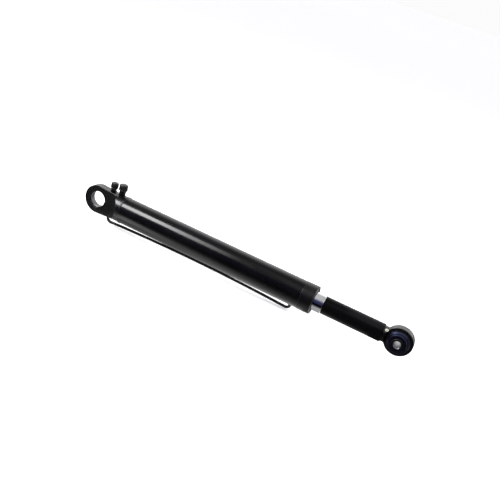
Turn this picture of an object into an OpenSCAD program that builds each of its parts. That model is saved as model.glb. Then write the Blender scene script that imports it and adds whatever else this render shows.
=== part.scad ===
// Two-stage telescopic hydraulic cylinder of the kind that tilts a truck cab.
// The origin is the centre of the base eye bore. +X runs along the cylinder to the rod eye,
// Y is the axis of both eye bores, and +Z is the side of the two oil ports.
// Everything is drawn with both stages pushed in.

/* [Overall] */
// Distance between the axes of the two eyes, closed
closed_length = 720; // [714:1:780]
// Distance from the base eye axis to the front face of the barrel
barrel_end = 536; // [530:1:537]
// Length of bright stage tube left showing, closed
stage_showing = 22; // [15:0.5:25]
// Travel of the stage tube in the barrel
stage_stroke = 340; // [100:1:340]
// Travel of the inner rod in the stage tube
rod_stroke = 325; // [100:1:325]

/* [Barrel] */
// Outer diameter of the barrel tube
barrel_od = 60; // [58:0.5:62]
// Bore of the barrel tube
barrel_id = 50; // [49:0.5:51]
// Where the barrel tube starts, from the base eye axis
barrel_start = 69; // [67:1:70]
// Outer diameter of the collar at the front of the barrel
collar_od = 60.8; // [60.4:0.2:64]
// Length of that collar
collar_length = 27; // [20:1:30]
// Length of the gland that guides the stage tube
gland_length = 37; // [35:1:45]

/* [Base eye] */
// Thickness of the flattened lug
lug_thickness = 20; // [18:1:24]
// Outer radius of the lug around its bore
lug_r = 32; // [31:0.5:34]
// Where the milled flats run out into the round bar
lug_runout = 60; // [56:1:62]
// Bore of the pressed-in bushing
base_bore = 35; // [30:0.5:36]
// Wall of that bushing
bushing_wall = 2; // [2:0.25:3]
// Length of that bushing, which lies recessed in the lug
bushing_length = 14; // [12:1:18]

/* [Ports and return pipe] */
// Position along X of the port that feeds the return pipe
port_a_x = 31; // [30.5:0.5:33]
// Position along X of the port that feeds the space behind the pistons
port_b_x = 53.5; // [52.5:0.5:55]
// Diameter of both port drillings
port_bore = 5; // [4:0.5:6]
// Outer diameter of the return pipe
pipe_od = 6; // [6:0.5:8]
// Bore of the return pipe
pipe_id = 4; // [3:0.5:4.5]
// Radius of the bends at its two ends
pipe_bend_r = 9; // [7:0.5:9]
// Clear gap between pipe and barrel at mid length
pipe_gap = 3.5; // [3.5:0.5:10]
// How much further out the pipe lies at its ends
pipe_bow = 5.7; // [5.5:0.1:8]
// Position along X where the pipe enters the barrel
pipe_front_x = 492; // [484:1:494]

/* [Stage tube] */
// Outer diameter of the chromed stage tube
stage_od = 40; // [38:0.5:40]
// Bore of the stage tube
stage_id = 30; // [29:0.5:30]
// Length of the stage piston
stage_piston_length = 38; // [36:1:42]

/* [Inner rod] */
// Diameter of the chromed inner rod
rod_d = 22; // [20:0.5:22]
// Outer diameter of the black sleeve that covers the end of the rod
sleeve_od = 38; // [37:0.5:39]
// Wall of that sleeve
sleeve_wall = 3; // [2:0.25:3.5]

/* [Rod eye] */
// Outer diameter of the eye ring
eye_od = 60; // [56:1:64]
// Bore of the eye ring
eye_id = 50; // [48:0.5:51]
// Width of the eye ring
eye_width = 18; // [16:1:20]
// Diameter of the neck between sleeve and ring
neck_d = 33; // [30:1:34]
// Length of the steel sleeve inside the rubber bush
bush_length = 43; // [40:1:50]
// Bore of that sleeve
bush_bore = 15; // [12:0.5:17]

/* [Hidden] */
$fn = 72;
eps = 0.01;

// Colours
BLACK_PAINT = [0.07, 0.07, 0.08];
CHROME = [0.86, 0.87, 0.9];
STEEL = [0.55, 0.56, 0.58];
BRONZE = [0.72, 0.52, 0.3];
ZINC = [0.78, 0.78, 0.7];
BLACK_PLASTIC = [0.1, 0.1, 0.11];
BLACK_RUBBER = [0.05, 0.05, 0.09];
SEAL_GREEN = [0.2, 0.42, 0.38];

// Clearances: radial play of a moving fit, and the gap at a face-to-face stop
running = 0.04;
stop_gap = 0.4;

// Barrel and head
barrel_r = barrel_od / 2;
bore_r = barrel_id / 2;
collar_x = barrel_end - collar_length;
gland_x = barrel_end - 1 - gland_length;
spigot_end = barrel_start + 20;
stage_r = stage_od / 2;
stage_bore_r = stage_id / 2;
rod_r = rod_d / 2;

// Base eye
runout_r = barrel_r + 1;
bushing_r = base_bore / 2 + bushing_wall;
port_face_z = 28;
washer_t = 1.2;
washer_d = 13.5;

// Stage tube: piston at the back, inner gland at the front
stage_piston_x = spigot_end + 10;
stage_x = stage_piston_x + 10;
stage_end = barrel_end + stage_showing - stop_gap;
stage_stop_x = stage_piston_x + stage_piston_length;
stage_stop_length = gland_x - 2 - stage_stroke - stage_stop_x;
inner_gland_length = 34;
inner_gland_x = stage_end - inner_gland_length;
inner_gland_od = stage_id + 4;
inner_spigot_length = 10;

// Inner rod: piston and nut at the back, eye at the front
rod_piston_x = stage_x + 12;
rod_piston_length = 28;
rod_thread_d = 14;
rod_stop_x = rod_piston_x + rod_piston_length;
rod_stop_length = inner_gland_x - inner_spigot_length - 3 - rod_stroke - rod_stop_x;
sleeve_x = barrel_end + stage_showing;
sleeve_end = closed_length - 34;
shank_x = sleeve_end - 28;
sleeve_ir = sleeve_od / 2 - sleeve_wall;
eye_thread_d = 18;
eye_thread_end = closed_length - eye_id / 2 - 5;
neck_flat_x = sleeve_end + 6;
lock_screw_x = sleeve_end + 5.2;
lock_screw_angle = 36;

// Rubber bush
bush_wall = 2;
bush_sleeve_r = 12;
bush_face_r = 18.5;
bush_face_y = 19;

// ---- Shapes that repeat ----

// Turns a shape drawn up the Z axis so that it runs along +X from x
module along_x(x) {
    translate([x, 0, 0]) rotate([0, 90, 0]) children();
}

// Turns a shape drawn up the Z axis so that it is centred on a Y axis at x
module along_y(x) {
    translate([x, 0, 0]) rotate([90, 0, 0]) children();
}

// A round bar along X with a chamfer at each end
module bar(x, length, r, c0 = 0, c1 = 0) {
    along_x(x) {
        if (c0 > 0) cylinder(h = c0, r1 = r - c0, r2 = r);
        translate([0, 0, c0]) cylinder(h = length - c0 - c1, r = r);
        if (c1 > 0) translate([0, 0, length - c1]) cylinder(h = c1, r1 = r, r2 = r - c1);
    }
}

// A tube along X
module ring(x, length, outer, inner) {
    along_x(x) difference() {
        cylinder(h = length, r = outer);
        translate([0, 0, -1]) cylinder(h = length + 2, r = inner);
    }
}

// A wiper ring around X: a body in its groove and a thin lip that leans forward
module wiper(x, length, outer, inner, lip) {
    along_x(x) rotate_extrude() polygon([[inner + 0.8, 0], [outer, 0], [outer, length],
        [inner + 1.2, length], [inner, length + lip], [inner, length], [inner + 0.8, length - 1.5]]);
}

// ---- Barrel, base eye and head ----

// The two flats leave a lug as far as the run-out, where each ends in a round arc
module lug_flats() {
    for (side = [-1, 1])
        translate([0, side * (lug_thickness / 2 + barrel_r), 0]) rotate([90, 0, 0])
            linear_extrude(height = 2 * barrel_r, center = true) union() {
                translate([lug_runout - runout_r, 0]) circle(r = runout_r);
                translate([-lug_r, -runout_r]) square([lug_r + lug_runout - runout_r, 2 * runout_r]);
            }
}

// Flat plate, round about the bore, that narrows until it lies within the round bar
module lug_plate() {
    end_height = 2 * sqrt(pow(barrel_r, 2) - pow(lug_thickness / 2, 2));
    hull() {
        along_y(0) cylinder(h = lug_thickness, r = lug_r, center = true);
        translate([lug_runout - 1, -lug_thickness / 2, -end_height / 2]) cube([1, lug_thickness, end_height]);
    }
}

module base_eye() {
    color(BLACK_PAINT) difference() {
        union() {
            difference() {
                bar(0, barrel_start, barrel_r, 0, 2);
                lug_flats();
            }
            lug_plate();
            bar(barrel_start - 4, spigot_end - barrel_start + 4, bore_r, 0, 1.5);
        }
        along_y(0) cylinder(h = lug_thickness + 2, r = bushing_r, center = true);
        for (side = [0, 180]) rotate([0, 0, side])
            along_y(0) translate([0, 0, lug_thickness / 2 - 1])
                cylinder(h = 1 + eps, r1 = bushing_r, r2 = bushing_r + 1 + eps);
        for (x = [port_a_x, port_b_x])
            translate([x, 0, port_face_z]) cylinder(h = 10, d = washer_d + 1);
        translate([port_a_x, 0, -barrel_r - 1]) cylinder(h = 2 * barrel_r + 2, d = port_bore);
        translate([port_a_x, 0, -barrel_r - 1]) cylinder(h = 7, d = pipe_od);
        translate([port_b_x, 0, 0]) cylinder(h = barrel_r + 2, d = port_bore);
        along_x(port_b_x) cylinder(h = spigot_end - port_b_x + 1, d = port_bore);
        for (x = [port_a_x, port_b_x]) translate([x, 0, port_face_z - 9]) cylinder(h = 10, d = 10);
    }
}

module base_bushing() {
    color(STEEL) along_y(0) difference() {
        cylinder(h = bushing_length, r = bushing_r, center = true);
        cylinder(h = lug_thickness + 2, d = base_bore, center = true);
    }
}

// Rounded weld bead that closes the groove between base eye and barrel tube
module base_weld() {
    color(BLACK_PAINT) along_x(barrel_start) rotate_extrude() difference() {
        translate([barrel_r - 0.4, 0]) scale([0.5, 1]) circle(r = 3.4, $fn = 32);
        polygon([[0, -5], [barrel_r, -5], [barrel_r, -2], [barrel_r - 2, 0], [barrel_r, 2], [barrel_r, 5], [0, 5]]);
    }
}

module barrel_tube() {
    color(BLACK_PAINT) difference() {
        bar(barrel_start, collar_x - barrel_start, barrel_r, 2, 0);
        along_x(barrel_start - 1) cylinder(h = collar_x - barrel_start + 2, r = bore_r);
        translate([pipe_front_x, 0, -barrel_r - 1]) cylinder(h = barrel_r, d = pipe_id);
    }
}

module head_collar() {
    color(BLACK_PAINT) difference() {
        bar(collar_x, collar_length, collar_od / 2, 0.7, 1.2);
        along_x(collar_x - 1) cylinder(h = collar_length + 2, r = bore_r);
    }
}

module gland() {
    seal_x = gland_x + 12;
    color(BLACK_PAINT) difference() {
        bar(gland_x, gland_length, bore_r, 0.8, 0.5);
        along_x(gland_x - 1) cylinder(h = gland_length + 2, r = stage_r + 0.15);
        ring(gland_x + 4, 3.2, bore_r + 1, bore_r - 2.4);
        for (x = [gland_x + 3, gland_x + 23]) along_x(x) cylinder(h = 6, r = stage_r + 2);
        along_x(seal_x) cylinder(h = 7, r = stage_r + 3);
        along_x(gland_x + gland_length - 5) cylinder(h = 6, r = stage_r + 2);
        for (a = [0 : 90 : 270]) rotate([a, 0, 0]) translate([0, 0, bore_r - 1.4])
            along_x(gland_x + gland_length - 3) cylinder(h = 4, d = 2, $fn = 24);
    }
}

module gland_o_ring() {
    color(BLACK_RUBBER) ring(gland_x + 4, 3.2, bore_r, bore_r - 2.4);
}

module gland_rod_seal() {
    color(SEAL_GREEN) ring(gland_x + 12, 7, stage_r + 3, stage_r + running);
}

module gland_guide_rings() {
    color(BRONZE) for (x = [gland_x + 3, gland_x + 23]) ring(x, 6, stage_r + 2, stage_r + running);
}

module gland_wiper() {
    color(BLACK_RUBBER) wiper(gland_x + gland_length - 5, 5, stage_r + 2, stage_r + running, 1.2);
}

// ---- Ports and return pipe ----

// Steel pipe from a drilling in the lug, along the barrel in one shallow bow, to the head end.
// Its route is a list of [x, z, heading] stations, and its wall is swept along them.
module return_pipe() {
    half_span = (pipe_front_x - port_a_x) / 2 - pipe_bend_r;
    mid_x = (pipe_front_x + port_a_x) / 2;
    mid_z = -barrel_r - pipe_gap - pipe_od / 2;
    tilt = 2 * atan(pipe_bow / half_span);
    bow_r = half_span / sin(tilt) - pipe_bend_r;
    bend_z = mid_z - bow_r * (1 - cos(tilt)) + pipe_bend_r * cos(tilt);
    bend_steps = 8;
    bow_steps = 12;

    function on_arc(cx, cz, r, a, turn) = [cx + r * cos(a), cz + r * sin(a), a + turn];
    route = concat(
        [[port_a_x, 4 - port_face_z, 270]],
        [for (k = [0 : bend_steps])
            on_arc(port_a_x + pipe_bend_r, bend_z, pipe_bend_r, 180 + (90 + tilt) * k / bend_steps, 90)],
        [for (k = [1 : bow_steps - 1])
            on_arc(mid_x, mid_z - bow_r, bow_r, 90 + tilt - 2 * tilt * k / bow_steps, -90)],
        [for (k = [0 : bend_steps])
            on_arc(pipe_front_x - pipe_bend_r, bend_z, pipe_bend_r,
                270 - tilt + (90 + tilt) * k / bend_steps, 90)],
        [[pipe_front_x, -barrel_r - 1.5, 90]]);

    sides = 12;
    last = len(route) - 1;
    function wall_point(s, r, a) =
        [s[0] - r * cos(a) * sin(s[2]), r * sin(a), s[1] + r * cos(a) * cos(s[2])];
    points = [for (d = [pipe_od, pipe_id]) for (s = route) for (k = [0 : sides - 1])
        wall_point(s, d / 2, 360 * k / sides)];
    function at(wall, station, k) = (wall * len(route) + station) * sides + k % sides;
    faces = concat(
        [for (i = [0 : last - 1]) for (k = [0 : sides - 1])
            [at(0, i, k), at(0, i, k + 1), at(0, i + 1, k + 1), at(0, i + 1, k)]],
        [for (i = [0 : last - 1]) for (k = [0 : sides - 1])
            [at(1, i, k), at(1, i + 1, k), at(1, i + 1, k + 1), at(1, i, k + 1)]],
        [for (k = [0 : sides - 1]) [at(0, 0, k), at(1, 0, k), at(1, 0, k + 1), at(0, 0, k + 1)]],
        [for (k = [0 : sides - 1])
            [at(0, last, k), at(0, last, k + 1), at(1, last, k + 1), at(1, last, k)]]);
    color(BLACK_PAINT) polyhedron(points = points, faces = faces);
}

// Welded socket that the front end of the pipe is brazed into
module pipe_boss() {
    boss_d = pipe_od + 5;
    color(BLACK_PAINT) translate([pipe_front_x, 0, 0]) difference() {
        union() {
            translate([0, 0, -barrel_r - 3]) cylinder(h = 6, d = boss_d);
            translate([0, 0, -barrel_r - 1.5]) cylinder(h = 5, d1 = boss_d, d2 = boss_d + 10);
        }
        rotate([0, 90, 0]) cylinder(h = 60, r = barrel_r, center = true);
        translate([0, 0, -barrel_r - 10]) cylinder(h = 8.5, d = pipe_od);
        translate([0, 0, -barrel_r - 4]) cylinder(h = 6, d = pipe_id);
    }
}

// Stud coupling: threaded stud, hexagon, and a nipple that the cap covers
module port_fitting(x, hex_af, hex_height, nipple_d, top_z) {
    base_z = port_face_z + washer_t;
    hex_top = base_z + hex_height;
    color(BLACK_PAINT) translate([x, 0, 0]) difference() {
        union() {
            translate([0, 0, port_face_z - 8]) cylinder(h = 8 + washer_t, d = 10);
            intersection() {
                translate([0, 0, base_z]) cylinder(h = hex_height, d = hex_af / cos(30), $fn = 6);
                translate([0, 0, base_z - hex_height]) cylinder(h = 2 * hex_height, r1 = hex_af, r2 = hex_af / 2);
            }
            translate([0, 0, hex_top]) cylinder(h = top_z - hex_top, d = nipple_d);
        }
        translate([0, 0, port_face_z - 9]) cylinder(h = top_z, d = port_bore - 1);
    }
}

// Push-on protective cap with a rounded crown and a ribbed grip
module port_cap(x, cap_d, bottom_z, top_z, nipple_d, nipple_z) {
    cap_r = cap_d / 2;
    crown = 3;
    ribs = 16;
    color(BLACK_PLASTIC) translate([x, 0, 0]) difference() {
        rotate_extrude() union() {
            translate([0, bottom_z]) square([cap_r, top_z - bottom_z - crown]);
            translate([0, top_z - crown - eps]) square([cap_r - crown, crown + eps]);
            translate([cap_r - crown, top_z - crown]) intersection() {
                circle(r = crown, $fn = 32);
                square(crown);
            }
        }
        translate([0, 0, bottom_z - 1]) cylinder(h = nipple_z - bottom_z + 1, d = nipple_d);
        for (k = [0 : ribs - 1]) rotate([0, 0, k * 360 / ribs])
            translate([cap_r, 0, bottom_z + 1.5])
                cylinder(h = top_z - bottom_z - crown - 2.5, r = 0.7, $fn = 16);
    }
}

module port_fitting_a() port_fitting(port_a_x, 11, 8.5, 8.5, 48);
module port_fitting_b() port_fitting(port_b_x, 13, 12, 10, 52.5);
module port_cap_a() port_cap(port_a_x, 17, 39, 52, 8.5, 48);
module port_cap_b() port_cap(port_b_x, 19.5, 42.5, 56.5, 10, 52.5);

module port_washers() {
    color(BLACK_PAINT) for (x = [port_a_x, port_b_x]) translate([x, 0, port_face_z]) difference() {
        cylinder(h = washer_t, d = washer_d);
        translate([0, 0, -1]) cylinder(h = washer_t + 2, d = 10);
    }
}

// ---- Stage tube ----

module stage_tube() {
    color(CHROME) difference() {
        bar(stage_x, stage_end - stage_x, stage_r, 1, 1);
        along_x(stage_x - 1) cylinder(h = stage_end - stage_x + 2, r = stage_bore_r);
        along_x(inner_gland_x) cylinder(h = inner_gland_length + 1, d = inner_gland_od);
        translate([rod_stop_x + 3, 0, 0]) cylinder(h = 2 * stage_od, d = 3, center = true, $fn = 24);
    }
}

module stage_piston() {
    x = stage_piston_x;
    color(STEEL) difference() {
        bar(x, stage_piston_length, bore_r - 0.25, 1.5, 1);
        along_x(stage_x) cylinder(h = stage_piston_length, r = stage_r);
        along_x(x - 1) cylinder(h = 20, d = 12);
        for (gx = [x + 4, x + 26]) ring(gx, 8, bore_r + 1, bore_r - 2);
        ring(x + 15, 8, bore_r + 1, bore_r - 3.5);
        along_x(x + 11) cylinder(h = 2.6, r = stage_r + 1.6);
    }
}

module stage_piston_seal() {
    color(SEAL_GREEN) ring(stage_piston_x + 15, 8, bore_r - running, bore_r - 3.5);
}

module stage_guide_rings() {
    color(BRONZE) for (gx = [stage_piston_x + 4, stage_piston_x + 26])
        ring(gx, 8, bore_r - running, bore_r - 2);
}

module stage_o_ring() {
    color(BLACK_RUBBER) ring(stage_piston_x + 11, 2.6, stage_r + 1.6, stage_r);
}

// Spacer that keeps the stage piston away from the gland at full reach
module stage_stop_tube() {
    color(STEEL) ring(stage_stop_x, stage_stop_length, stage_r + 2.8, stage_r);
}

module inner_gland() {
    x = inner_gland_x;
    color(STEEL) difference() {
        union() {
            bar(x, inner_gland_length - 0.5, inner_gland_od / 2, 0, 0.5);
            bar(x - inner_spigot_length, inner_spigot_length + 1, stage_bore_r, 0.8, 0);
        }
        along_x(x - inner_spigot_length - 1) cylinder(h = 60, r = rod_r + 0.15);
        ring(x - 7, 2.6, stage_bore_r + 1, stage_bore_r - 1.8);
        along_x(x) cylinder(h = 7, r = rod_r + 1.5);
        along_x(x + 12) cylinder(h = 6, r = rod_r + 3);
        along_x(x + inner_gland_length - 5.5) cylinder(h = 6, r = rod_r + 2.5);
    }
}

module inner_gland_o_ring() {
    color(BLACK_RUBBER) ring(inner_gland_x - 7, 2.6, stage_bore_r, stage_bore_r - 1.8);
}

module inner_rod_seal() {
    color(SEAL_GREEN) ring(inner_gland_x + 12, 6, rod_r + 3, rod_r + running);
}

module inner_guide_ring() {
    color(BRONZE) ring(inner_gland_x, 7, rod_r + 1.5, rod_r + running);
}

module inner_wiper() {
    color(BLACK_RUBBER)
        wiper(inner_gland_x + inner_gland_length - 5.5, 5, rod_r + 2.5, rod_r + running, 0.4);
}

// ---- Inner rod ----

// The rod turns inside these two rings, and they slide along with it
module rod_piston_seal() {
    color(SEAL_GREEN)
        ring(rod_piston_x + 5, 6, stage_bore_r - running, stage_bore_r - 3.5 + running);
}

module rod_guide_ring() {
    color(BRONZE)
        ring(rod_piston_x + 15, 8, stage_bore_r - running, stage_bore_r - 2 + running);
}

module inner_rod() {
    color(CHROME) {
        bar(rod_stop_x, shank_x - rod_stop_x, rod_r, 0.5, 0.5);
        bar(rod_piston_x - 9, rod_stop_x - rod_piston_x + 10, rod_thread_d / 2, 0.8, 0);
        bar(shank_x - 1, eye_thread_end - shank_x + 1, eye_thread_d / 2, 0, 1);
    }
}

module rod_piston() {
    x = rod_piston_x;
    color(STEEL) difference() {
        bar(x, rod_piston_length, stage_bore_r - 0.2, 1, 1);
        along_x(x - 1) cylinder(h = rod_piston_length + 2, d = rod_thread_d);
        ring(x + 5 - running, 6 + 2 * running, stage_bore_r + 1, stage_bore_r - 3.5);
        ring(x + 15 - running, 8 + 2 * running, stage_bore_r + 1, stage_bore_r - 2);
    }
}

module rod_piston_nut() {
    color(ZINC) along_x(rod_piston_x - 8) difference() {
        cylinder(h = 8, d = 21 / cos(30), $fn = 6);
        translate([0, 0, -1]) cylinder(h = 10, d = rod_thread_d);
    }
}

// Spacer that keeps the rod piston away from the inner gland at full reach
module rod_stop_tube() {
    color(STEEL) ring(rod_stop_x, rod_stop_length, stage_bore_r - 1, rod_r);
}

module rod_sleeve() {
    color(BLACK_PAINT) difference() {
        bar(sleeve_x, sleeve_end - sleeve_x, sleeve_od / 2, 0.6, 2);
        along_x(sleeve_x - 1) cylinder(h = sleeve_end - sleeve_x + 2, r = sleeve_ir);
    }
}

// Small weld fillet that ties the sleeve to the neck of the eye
module sleeve_weld() {
    r0 = neck_d / 2;
    color(BLACK_PAINT) along_x(sleeve_end) rotate_extrude()
        polygon([[r0, 0], [sleeve_od / 2 - 2, 0], [r0 + 0.3, 1.6], [r0, 1.6]]);
}

// ---- Rod eye and rubber bush ----

// Shank inside the sleeve, neck with two milled flats, and the ring that holds the bush
module rod_eye() {
    neck_r = neck_d / 2;
    runout = neck_r - eye_width / 2;
    color(BLACK_PAINT) difference() {
        union() {
            bar(shank_x, sleeve_end - shank_x + 1, sleeve_ir, 1, 0);
            difference() {
                bar(sleeve_end, closed_length - sleeve_end, neck_r);
                for (side = [-1, 1]) translate([neck_flat_x + runout, side * neck_r, 0]) {
                    cylinder(h = 2 * neck_d, r = runout, center = true);
                    translate([0, -runout, -neck_d]) cube([eye_od, 2 * runout, 2 * neck_d]);
                }
            }
            along_y(closed_length) cylinder(h = eye_width, d = eye_od, center = true);
        }
        along_y(closed_length) cylinder(h = 2 * eye_od, d = eye_id, center = true);
        along_x(shank_x - 1) cylinder(h = eye_thread_end - shank_x + 1, d = eye_thread_d);
        rotate([lock_screw_angle, 0, 0]) translate([lock_screw_x, 0, 0]) cylinder(h = 30, d = 6);
    }
}

// Screw that bears on the thread of the rod and stops the eye from unscrewing
module eye_lock_screw() {
    root = eye_thread_d / 2;
    color(ZINC) rotate([lock_screw_angle, 0, 0]) translate([lock_screw_x, 0, 0]) difference() {
        union() {
            translate([0, 0, root]) cylinder(h = 9, d = 6);
            translate([0, 0, root + 8]) cylinder(h = 1.4, d1 = 6, d2 = 4.4);
        }
        translate([0, 0, root + 6.5]) cylinder(h = 5, d = 3 / cos(30), $fn = 6);
    }
}

module bush_outer_sleeve() {
    color(STEEL) along_y(closed_length) difference() {
        cylinder(h = eye_width + 1, d = eye_id, center = true);
        cylinder(h = eye_width + 3, r = eye_id / 2 - bush_wall, center = true);
    }
}

// Rubber that swells out of the ring on both sides as a rounded cone
module bush_rubber() {
    ring_r = eye_id / 2 - bush_wall;
    edge_y = eye_width / 2 + 0.5;
    side = [[ring_r, edge_y], [ring_r + 0.6, edge_y + 1.2], [ring_r - 0.6, edge_y + 4],
            [bush_face_r + 1, bush_face_y - 1], [bush_face_r, bush_face_y]];
    color(BLACK_RUBBER) along_y(closed_length) rotate_extrude()
        polygon(concat([[bush_sleeve_r + running, -bush_face_y]],
            [for (k = [len(side) - 1 : -1 : 0]) [side[k][0], -side[k][1]]],
            side, [[bush_sleeve_r + running, bush_face_y]]));
}

module bush_inner_sleeve() {
    color(STEEL) along_y(closed_length) difference() {
        cylinder(h = bush_length, r = bush_sleeve_r, center = true);
        cylinder(h = bush_length + 2, d = bush_bore, center = true);
        for (end = [0, 180]) rotate([end, 0, 0]) translate([0, 0, bush_length / 2 - 1])
            cylinder(h = 1 + eps, d1 = bush_bore, d2 = bush_bore + 2 + 2 * eps);
    }
}

base_eye();
base_bushing();
base_weld();
barrel_tube();
head_collar();
gland();
gland_o_ring();
gland_rod_seal();
gland_guide_rings();
gland_wiper();
return_pipe();
pipe_boss();
port_fitting_a();
port_fitting_b();
port_washers();
port_cap_a();
port_cap_b();
stage_tube();
stage_piston();
stage_piston_seal();
stage_guide_rings();
stage_o_ring();
stage_stop_tube();
inner_gland();
inner_gland_o_ring();
inner_rod_seal();
inner_guide_ring();
inner_wiper();
rod_piston_seal();
rod_guide_ring();
inner_rod();
rod_piston();
rod_piston_nut();
rod_stop_tube();
rod_sleeve();
sleeve_weld();
rod_eye();
eye_lock_screw();
bush_outer_sleeve();
bush_rubber();
bush_inner_sleeve();
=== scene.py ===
"""Looks of the telescopic hydraulic cylinder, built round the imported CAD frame.

Lengths are in metres. X runs along the cylinder, Y along the bores of both eyes, and +Z is the port side.
"""
import math

import bpy
import numpy as np
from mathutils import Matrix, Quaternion, Vector


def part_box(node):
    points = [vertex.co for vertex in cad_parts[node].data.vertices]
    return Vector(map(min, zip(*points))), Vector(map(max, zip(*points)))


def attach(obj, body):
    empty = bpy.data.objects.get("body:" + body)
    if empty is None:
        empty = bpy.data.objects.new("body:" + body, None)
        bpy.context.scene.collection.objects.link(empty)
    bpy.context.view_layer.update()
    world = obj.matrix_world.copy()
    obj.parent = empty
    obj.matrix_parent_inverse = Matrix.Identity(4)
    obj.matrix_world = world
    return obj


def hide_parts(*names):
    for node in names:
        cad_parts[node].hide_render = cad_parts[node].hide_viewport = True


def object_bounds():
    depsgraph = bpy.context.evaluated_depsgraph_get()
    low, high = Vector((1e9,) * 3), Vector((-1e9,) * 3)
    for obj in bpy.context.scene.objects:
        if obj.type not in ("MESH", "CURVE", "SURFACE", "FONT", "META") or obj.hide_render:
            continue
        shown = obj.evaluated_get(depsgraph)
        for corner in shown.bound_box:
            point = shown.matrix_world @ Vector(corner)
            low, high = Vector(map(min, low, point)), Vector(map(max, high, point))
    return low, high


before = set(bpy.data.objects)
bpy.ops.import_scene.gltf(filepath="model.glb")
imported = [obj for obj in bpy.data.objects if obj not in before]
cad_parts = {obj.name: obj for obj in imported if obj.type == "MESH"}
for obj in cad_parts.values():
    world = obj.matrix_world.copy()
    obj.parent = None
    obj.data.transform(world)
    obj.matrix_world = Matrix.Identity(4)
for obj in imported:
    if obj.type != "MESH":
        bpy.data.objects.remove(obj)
cad_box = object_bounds()
MM = 0.001

# ---------------------------------------------------------------- sizes
# Most are read from the frame's boxes. The plain numbers repeat sizes of the CAD source.


def span(node, axis):
    """Lowest and highest value of a CAD node along one axis."""
    low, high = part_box(node)
    return low[axis], high[axis]


BARREL_X0 = span("barrel_tube", 0)[0]
BARREL_R = span("barrel_tube", 2)[1]
COLLAR_X0, COLLAR_X1 = span("head_collar", 0)
COLLAR_R = span("head_collar", 2)[1]
GLAND_R = span("gland", 2)[1]
LUG_R = -span("base_eye", 0)[0]
SPIGOT_X1 = span("base_eye", 0)[1]
BUSHING_R = span("base_bushing", 2)[1]
BUSHING_HALF = span("base_bushing", 1)[1]
BUSHING_BORE_R = 17.5 * MM
LUG_HALF = 10 * MM
LUG_RUNOUT = 60 * MM
SEAT_R = 7.25 * MM
STAGE_X0, STAGE_X1 = span("stage_tube", 0)
STAGE_R = span("stage_tube", 2)[1]
STAGE_BORE_R = 15 * MM
SLEEVE_X0, SLEEVE_X1 = span("rod_sleeve", 0)
SLEEVE_R = span("rod_sleeve", 2)[1]
SLEEVE_WALL = 3 * MM
SHANK_X0 = span("rod_eye", 0)[0]
EYE_R = span("rod_eye", 2)[1]
EYE_X = span("rod_eye", 0)[1] - EYE_R
EYE_HALF = 9 * MM
EYE_BORE_R = span("bush_outer_sleeve", 2)[1]
NECK_R = 16.5 * MM
BUSH_END = span("bush_inner_sleeve", 1)[1]
BUSH_SLEEVE_R = span("bush_inner_sleeve", 2)[1]
BUSH_BORE_R = 7.5 * MM
PORT_A_X = sum(span("port_cap_a", 0)) / 2
PORT_B_X = sum(span("port_cap_b", 0)) / 2
PORT_FACE_Z = span("port_washers", 2)[0]
PIPE_FRONT_X = sum(span("pipe_boss", 0)) / 2
PIPE_R = 3 * MM

# ---------------------------------------------------------------- node graph helpers


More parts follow.
